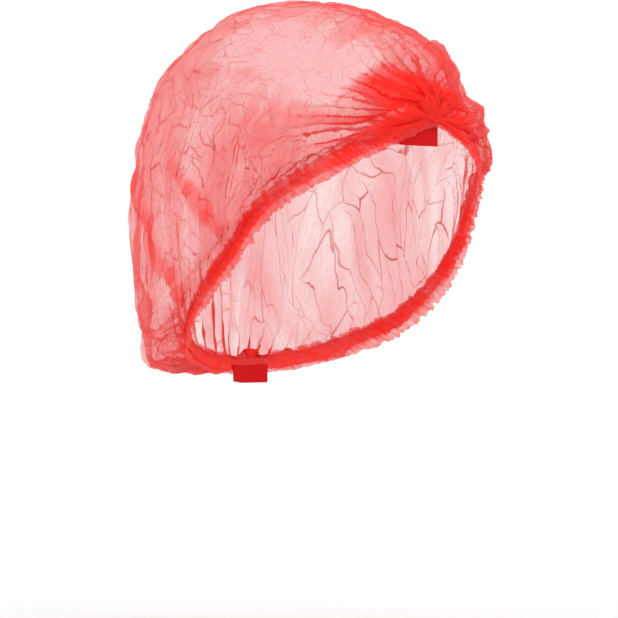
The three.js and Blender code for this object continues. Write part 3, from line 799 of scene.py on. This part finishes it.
def weldPiece(name, fromX, toX, height, atNape):
    # ribs of the melted pleats run down the tab, and one lower corner is drawn up a little
    c, form = weld, wornForm
    x = np.linspace(fromX, toX, c["columns"])
    reach = rimRows[-1 if atNape else 0]["reach"]
    front = np.degrees(np.arcsin(np.abs(x) / (form["headHalfWidth"] * reach)))
    turn = 180 - front if atNape else front
    place, _, out, _ = rimFrame(turn, np.where(x < 0, -1.0, 1.0))
    bottom = rimPoint(np.array([180.0 if atNape else 0.0]), 1)[0, 2] - height
    share = np.linspace(0, 1, c["rows"])
    points = np.repeat(place[:, None, :], c["rows"], axis=1) - out[:, None, :] * c["standIn"]
    points[..., 2] = place[:, None, 2] + (bottom - place[:, None, 2]) * share
    ribs = c["ribDepth"] * np.sin(2 * np.pi * x / c["ribSpacing"])[:, None] * (1 - 0.5 * share)
    corner = c["cornerUp"] * np.exp(-((x - fromX) / c["cornerReach"]) ** 2)[:, None] * share
    points = points + out[:, None, :] * (ribs * 0.5 - corner * 0.3)[..., None]
    slope = 0 if atNape else c["frontSlope"]
    points[..., 2] += corner - slope * (x - fromX)[:, None] * share
    if atNape:
        points = points[::-1]
    piece = makePiece(name, points)
    piece.data.materials.append(weldedPleats)
    wall = piece.modifiers.new("thickness", "SOLIDIFY")
    wall.thickness, wall.offset = c["thickness"] * 0.001, -1
    return piece


frontTab = weldPiece("front_weld_tab", -weld["frontRight"], weld["frontLeft"], weld["frontHeight"], False)
rearTab = weldPiece("rear_weld_tab", -weld["rearHalfWidth"], weld["rearHalfWidth"], weld["rearHeight"],
                    True)
print("weld tabs made")


# What each piece stands for

for piece, node, slotName in (
    (crownCloth, "crown", "sheer_cloth"),
    (hems["right"], "hem_right", "gathered_cloth"), (hems["left"], "hem_left", "gathered_cloth"),
    (elastics["right"], "elastic_right", "elastic"), (elastics["left"], "elastic_left", "elastic"),
    (frontTab, "front_weld", "welded_cloth"), (rearTab, "rear_weld", "welded_cloth"),
):
    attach(piece, "root")
    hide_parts(node)


# Studio: a pale floor below, soft light, and the camera at the photograph's angle

studio = {
    "azimuth": -36, "elevation": 2, "distance": 10, "pixelsPerMm": 1.74, "imageSize": 618,
    "aimX": 321, "aimY": 5.6, "floorDrop": 0.36, "worldStrength": 1.02,
    "keyStrength": 0.8, "keyAngle": 60, "fillStrength": 0.35,
}


def makeStudio():
    c = studio
    floorMesh = bpy.data.meshes.new("floor")
    half = 30
    floorMesh.from_pydata([(-half, -half, -c["floorDrop"]), (half, -half, -c["floorDrop"]),
                           (half, half, -c["floorDrop"]), (-half, half, -c["floorDrop"])], [], [(0, 1, 2, 3)])
    floor = bpy.data.objects.new("floor", floorMesh)
    bpy.context.collection.objects.link(floor)
    floorMesh.materials.append(plainMaterial("matt white floor", "#e9e9e9", 0.9, 1.45, 0.1))

    for name, strength, azimuth, elevation, angle in (
        ("key light", c["keyStrength"], 5, 42, c["keyAngle"]),
        ("fill light", c["fillStrength"], -85, 50, 80),
    ):
        data = bpy.data.lights.new(name, "SUN")
        data.energy, data.angle = strength, math.radians(angle)
        lamp = bpy.data.objects.new(name, data)
        lamp.rotation_euler = (math.radians(90 - elevation), 0, math.radians(azimuth))
        bpy.context.collection.objects.link(lamp)

    world = bpy.data.worlds.new("soft white studio")
    bpy.context.scene.world = world
    world.use_nodes = True
    tree = world.node_tree
    tree.nodes.clear()
    sky = addNode(tree, "ShaderNodeBackground", {"Color": (1, 1, 1, 1), "Strength": c["worldStrength"]})
    addNode(tree, "ShaderNodeOutputWorld", {"Surface": sky.outputs[0]})

    a, e = math.radians(c["azimuth"]), math.radians(c["elevation"])
    right = np.array([math.cos(a), math.sin(a), 0])
    back = np.array([math.sin(a) * math.cos(e), -math.cos(a) * math.cos(e), math.sin(e)])
    sideways = (c["imageSize"] / 2 - c["aimX"]) / c["pixelsPerMm"] / 1000
    aim = right * sideways + np.array([0, 0, (c["aimY"] - c["imageSize"] / 2) / c["pixelsPerMm"] / 1000])
    data = bpy.data.cameras.new("camera")
    data.sensor_width = 36
    data.lens = 36 * c["pixelsPerMm"] * 1000 * c["distance"] / c["imageSize"]
    camera = bpy.data.objects.new("camera", data)
    camera.location = aim + back * c["distance"]
    camera.rotation_euler = (math.radians(90) - e, 0, a)
    bpy.context.collection.objects.link(camera)
    bpy.context.scene.camera = camera


makeStudio()
bpy.context.scene.view_settings.view_transform = "Standard"
bpy.context.scene.cycles.transparent_max_bounces = 32
print("studio made")
